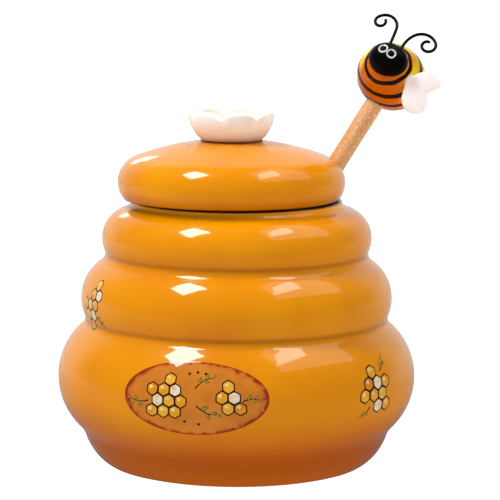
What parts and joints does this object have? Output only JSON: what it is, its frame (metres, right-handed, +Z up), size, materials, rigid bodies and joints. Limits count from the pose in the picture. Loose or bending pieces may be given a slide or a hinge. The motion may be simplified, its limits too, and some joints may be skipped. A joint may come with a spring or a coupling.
{
  "type": "honey pot",
  "caption": "Beehive-shaped glazed honey pot with a lift-off domed lid, a flower knob, and a wooden dipper topped by a bee that leans out through a slot in the lid.",
  "frame": {"origin": "on the pot's axis, on the plane of the foot ring", "axes": "+Z up; -Y towards the pot's front, where its oval panel is; the dipper leans 27 degrees from +X towards +Y"},
  "size_m": [0.1369, 0.132, 0.1648],
  "materials": {
    "amber_glaze": "glossy amber glaze",
    "white_glaze": "glossy white glaze",
    "yellow_glaze": "glossy yellow glaze",
    "light_wood": "plain sanded wood",
    "bee_glaze": "glossy orange glaze with thin black bands",
    "black_glaze": "glossy black glaze",
    "black_wire": "black enamelled wire"
  },
  "bodies": {
    "pot": {"pot": "amber_glaze"},
    "lid": {"lid": "amber_glaze", "knob_flower": "white_glaze", "knob_centre": "yellow_glaze"},
    "dipper": {"dipper_handle": "light_wood", "dipper_head": "light_wood", "bee_body": "bee_glaze", "bee_head": "black_glaze", "bee_wing_left": "white_glaze", "bee_wing_right": "white_glaze", "bee_antenna_left": "black_wire", "bee_antenna_right": "black_wire", "bee_eye_left": "white_glaze", "bee_eye_right": "white_glaze"}
  },
  "joints": [
    {"name": "lid_lift", "type": "slide", "parent": "pot", "child": "lid", "axis": [0, 0, 1], "range_m": [0, 0.1]},
    {"name": "dipper_pull", "type": "slide", "parent": "pot", "child": "dipper", "axis": [0.4827, 0.2459, 0.8406], "range_m": [0, 0.05]}
  ]
}
